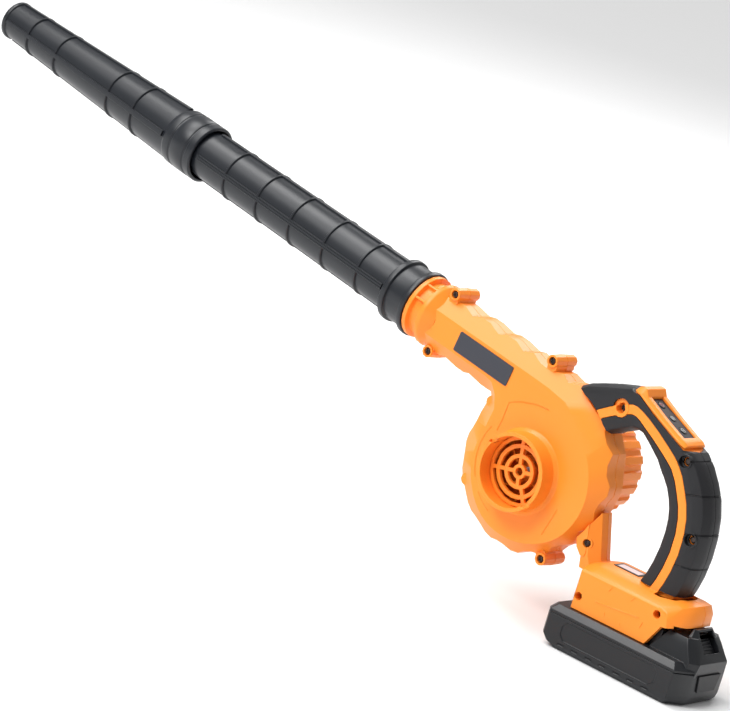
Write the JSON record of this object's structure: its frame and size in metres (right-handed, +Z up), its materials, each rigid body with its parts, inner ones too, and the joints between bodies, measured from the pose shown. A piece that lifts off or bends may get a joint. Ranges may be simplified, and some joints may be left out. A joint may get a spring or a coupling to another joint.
{
  "type": "leaf blower",
  "caption": "Cordless handheld leaf blower: scalloped fan housing, D-shaped grip with press keys, slide-off battery foot, and a long round blow tube with a tapered nozzle.",
  "frame": {"origin": "Centre line of the tool on the battery's flat underside, below the handle base, where the tool is set down.", "axes": "+X points back towards the user, so the blow tube points to -X and 9.7 degrees upwards; +Y is the motor's side and -Y the air inlet's; +Z is up."},
  "size_m": [0.8487, 0.117, 0.2951],
  "materials": {
    "orange_plastic": "satin moulded",
    "black_plastic": "satin moulded",
    "grip_rubber": "matte overmould",
    "panel_film": "semi-gloss",
    "steel": "machined",
    "dark_screw": "dark plated",
    "brass_contact": "plain",
    "circuit_board": "lacquered",
    "cell_wrap": "shrink-wrapped can",
    "label_plate": "satin, blank",
    "pale_sticker": "satin, blank"
  },
  "bodies": {
    "blower": {"volute_front": "orange_plastic", "volute_rear": "orange_plastic", "inlet_guard": "orange_plastic", "motor_cover": "orange_plastic", "handle_left": "orange_plastic", "handle_right": "orange_plastic", "panel_bezel": "orange_plastic", "motor_end_cap": "black_plastic", "terminal_block": "black_plastic", "outer_grip_left": "grip_rubber", "outer_grip_right": "grip_rubber", "inner_grip_left": "grip_rubber", "inner_grip_right": "grip_rubber", "control_panel": "panel_film", "motor_can": "steel", "front_bearing": "steel", "rear_bearing": "steel", "housing_screw_1": "dark_screw", "housing_screw_2": "dark_screw", "housing_screw_3": "dark_screw", "housing_screw_4": "dark_screw", "housing_screw_5": "dark_screw", "housing_screw_6": "dark_screw", "handle_screw_1": "dark_screw", "handle_screw_2": "dark_screw", "handle_screw_3": "dark_screw", "handle_screw_4": "dark_screw", "handle_screw_5": "dark_screw", "handle_screw_6": "dark_screw", "contact_blade_1": "brass_contact", "contact_blade_2": "brass_contact", "contact_blade_3": "brass_contact", "control_board": "circuit_board", "duct_plate": "label_plate", "base_sticker": "pale_sticker"},
    "rotor": {"motor_shaft": "steel", "armature": "steel", "impeller": "orange_plastic", "impeller_nut": "steel"},
    "battery": {"battery_case": "black_plastic", "battery_cover": "black_plastic", "battery_pad": "grip_rubber", "cell_1": "cell_wrap", "cell_2": "cell_wrap", "cell_3": "cell_wrap", "cell_4": "cell_wrap", "cell_5": "cell_wrap", "battery_board": "circuit_board", "latch_spring": "steel"},
    "latch": {"battery_latch": "black_plastic"},
    "power_key": {"power_button": "black_plastic"},
    "speed_up_key": {"speed_up_button": "black_plastic"},
    "speed_down_key": {"speed_down_button": "black_plastic"},
    "tube": {"blow_tube": "black_plastic"},
    "nozzle_tip": {"nozzle": "black_plastic"}
  },
  "joints": [
    {"name": "fan_spin", "type": "hinge", "parent": "blower", "child": "rotor", "pos_m": [-0.128, 0, 0.1084], "axis": [0, 1, 0], "continuous": true},
    {"name": "battery_slide", "type": "slide", "parent": "blower", "child": "battery", "axis": [1, 0, 0], "range_m": [0, 0.11]},
    {"name": "latch_press", "type": "slide", "parent": "battery", "child": "latch", "axis": [-0.7513, 0, -0.66], "range_m": [0, 0.002], "stiffness_N_per_m": 800, "springref_m": -0.002, "deforming": ["latch_spring"]},
    {"name": "power_press", "type": "slide", "parent": "blower", "child": "power_key", "axis": [-0.4305, 0, -0.9026], "range_m": [0, 0.0008], "stiffness_N_per_m": 600, "springref_m": -0.001},
    {"name": "speed_up_press", "type": "slide", "parent": "blower", "child": "speed_up_key", "axis": [-0.4305, 0, -0.9026], "range_m": [0, 0.0008], "stiffness_N_per_m": 600, "springref_m": -0.001},
    {"name": "speed_down_press", "type": "slide", "parent": "blower", "child": "speed_down_key", "axis": [-0.4305, 0, -0.9026], "range_m": [0, 0.0008], "stiffness_N_per_m": 600, "springref_m": -0.001},
    {"name": "tube_twist", "type": "hinge", "parent": "blower", "child": "tube", "pos_m": [-0.27161, 0, 0.19118], "axis": [-0.9857, 0, 0.1685], "range_deg": [0, 30]},
    {"name": "nozzle_twist", "type": "hinge", "parent": "tube", "child": "nozzle_tip", "pos_m": [-0.52394, 0, 0.23431], "axis": [-0.9857, 0, 0.1685], "range_deg": [0, 30]}
  ]
}
